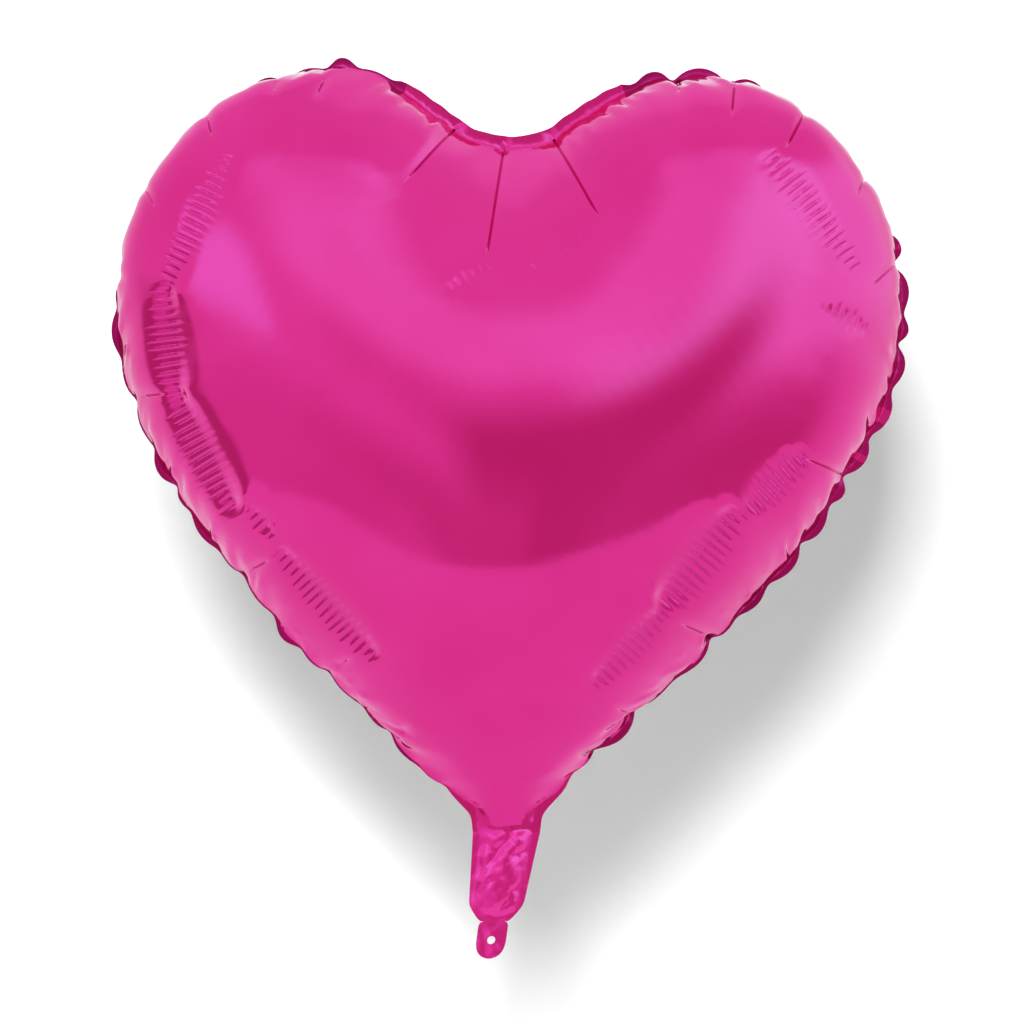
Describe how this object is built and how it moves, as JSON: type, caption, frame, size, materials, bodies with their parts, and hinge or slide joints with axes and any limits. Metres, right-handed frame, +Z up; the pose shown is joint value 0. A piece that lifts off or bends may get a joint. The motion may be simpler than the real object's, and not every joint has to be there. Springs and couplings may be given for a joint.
{
  "type": "heart-shaped foil balloon",
  "caption": "Inflated heart-shaped foil balloon with a welded rim flange, a folding neck with a self-sealing valve and a punched hanging tab.",
  "frame": {"origin": "crease at the root of the neck, on the rim plane and the heart's centreline, where a ribbon is tied", "axes": "+Z up towards the cleft of the heart, -Y towards the front face, +X to the viewer's right; Y = 0 is the plane of the rim weld"},
  "size_m": [0.3896, 0.174, 0.4381],
  "materials": {
    "foil": "metallised pink film, satin mirror",
    "foil_tail": "metallised pink film, crumpled",
    "valve_film": "milky clear polyethylene film"
  },
  "bodies": {
    "envelope": {"front_panel": "foil", "back_panel": "foil"},
    "valve_front": {"valve_front_lip": "valve_film"},
    "valve_back": {"valve_back_lip": "valve_film"},
    "neck": {"neck_front_ply": "foil_tail", "neck_back_ply": "foil_tail", "neck_valve_front_film": "valve_film", "neck_valve_back_film": "valve_film"},
    "tab": {"hang_tab": "foil_tail"}
  },
  "joints": [
    {"name": "neck_fold", "type": "hinge", "parent": "envelope", "child": "neck", "pos_m": [0, 0, 0], "axis": [1, 0, 0], "range_deg": [-100, 100]},
    {"name": "tab_fold", "type": "hinge", "parent": "neck", "child": "tab", "pos_m": [-0.00807, 0, -0.045], "axis": [1, 0, 0], "range_deg": [-90, 90]},
    {"name": "valve_front_open", "type": "hinge", "parent": "envelope", "child": "valve_front", "pos_m": [0, -0.0005, 0.014], "axis": [1, 0, 0], "range_deg": [0, 6], "stiffness_Nm_per_rad": 0.002},
    {"name": "valve_back_open", "type": "hinge", "parent": "envelope", "child": "valve_back", "pos_m": [0, 0.0005, 0.014], "axis": [1, 0, 0], "range_deg": [-6, 0], "stiffness_Nm_per_rad": 0.002}
  ],
  "couplings": [
    {"joint": "valve_back_open", "follows": "valve_front_open", "ratio": -1}
  ]
}
